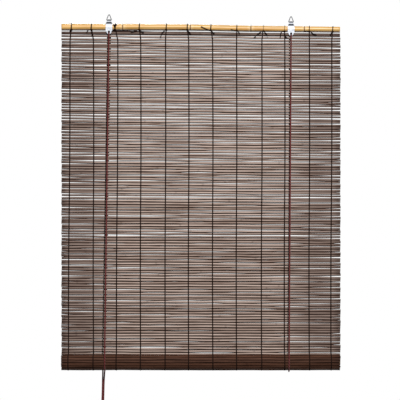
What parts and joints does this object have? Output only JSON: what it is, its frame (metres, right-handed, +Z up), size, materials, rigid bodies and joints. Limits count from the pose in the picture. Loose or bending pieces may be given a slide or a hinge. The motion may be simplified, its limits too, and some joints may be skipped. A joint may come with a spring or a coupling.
{
  "type": "bamboo roll-up blind",
  "caption": "Dark bamboo slat blind on a pale cane pole with steel hanging clips, strung with thread and half rolled up on red lift cords that end in pull cords.",
  "frame": {"origin": "midpoint of the line between the bearing points inside the tops of the two hanging rings", "axes": "+Z up, +X along the pole to the viewer's right, front at -Y"},
  "size_m": [0.6, 0.0518, 0.8819],
  "materials": {
    "cane": "satin natural cane",
    "core_cane": "satin natural cane",
    "slats": "dark stained bamboo, satin",
    "rolled_slats": "dark stained bamboo, satin",
    "warp_string": "dark brown twisted thread",
    "cord": "dark red braided cord",
    "strap_steel": "bright zinc-plated strip",
    "eyelet_steel": "nickel-plated hollow rivet",
    "ring_wire": "zinc-plated wire"
  },
  "bodies": {
    "head": {"top_pole": "cane", "left_hanger_strap": "strap_steel", "right_hanger_strap": "strap_steel", "left_eyelet": "eyelet_steel", "right_eyelet": "eyelet_steel", "slat_mat": "slats", "warp_string_01": "warp_string", "warp_string_02": "warp_string", "warp_string_03": "warp_string", "warp_string_04": "warp_string", "warp_string_05": "warp_string", "warp_string_06": "warp_string", "warp_string_07": "warp_string", "warp_string_08": "warp_string", "warp_string_09": "warp_string", "warp_string_10": "warp_string", "warp_string_11": "warp_string", "warp_string_12": "warp_string", "left_front_cord": "cord", "right_front_cord": "cord", "left_back_cord": "cord", "right_back_cord": "cord", "left_anchor_knot": "cord", "right_anchor_knot": "cord", "left_pull_cord": "cord", "right_pull_cord": "cord", "pull_knot": "cord"},
    "left_ring": {"left_hanging_ring": "ring_wire"},
    "right_ring": {"right_hanging_ring": "ring_wire"},
    "cord_sling": {"left_cord_bight": "cord", "right_cord_bight": "cord"},
    "roll": {"mat_roll": "rolled_slats", "bottom_pole": "core_cane"}
  },
  "joints": [
    {"name": "left_ring_swing", "type": "hinge", "parent": "head", "child": "left_ring", "pos_m": [-0.196, 0, -0.00899], "axis": [1, 0, 0], "range_deg": [-90, 90]},
    {"name": "right_ring_swing", "type": "hinge", "parent": "head", "child": "right_ring", "pos_m": [0.196, 0, -0.01321], "axis": [1, 0, 0], "range_deg": [-90, 90]},
    {"name": "roll_lift", "type": "slide", "parent": "head", "child": "cord_sling", "axis": [0, 0, 1], "range_m": [0, 0.62], "deforming": ["slat_mat", "warp_string_01", "warp_string_02", "warp_string_03", "warp_string_04", "warp_string_05", "warp_string_06", "warp_string_07", "warp_string_08", "warp_string_09", "warp_string_10", "warp_string_11", "warp_string_12", "left_front_cord", "right_front_cord", "left_back_cord", "right_back_cord"]},
    {"name": "roll_turn", "type": "hinge", "parent": "cord_sling", "child": "roll", "pos_m": [0.0015, -0.0178, -0.744], "axis": [1, 0, 0], "range_deg": [-2000, 0]}
  ],
  "couplings": [
    {"joint": "roll_turn", "follows": "roll_lift", "rad_per_m": -56.18}
  ]
}
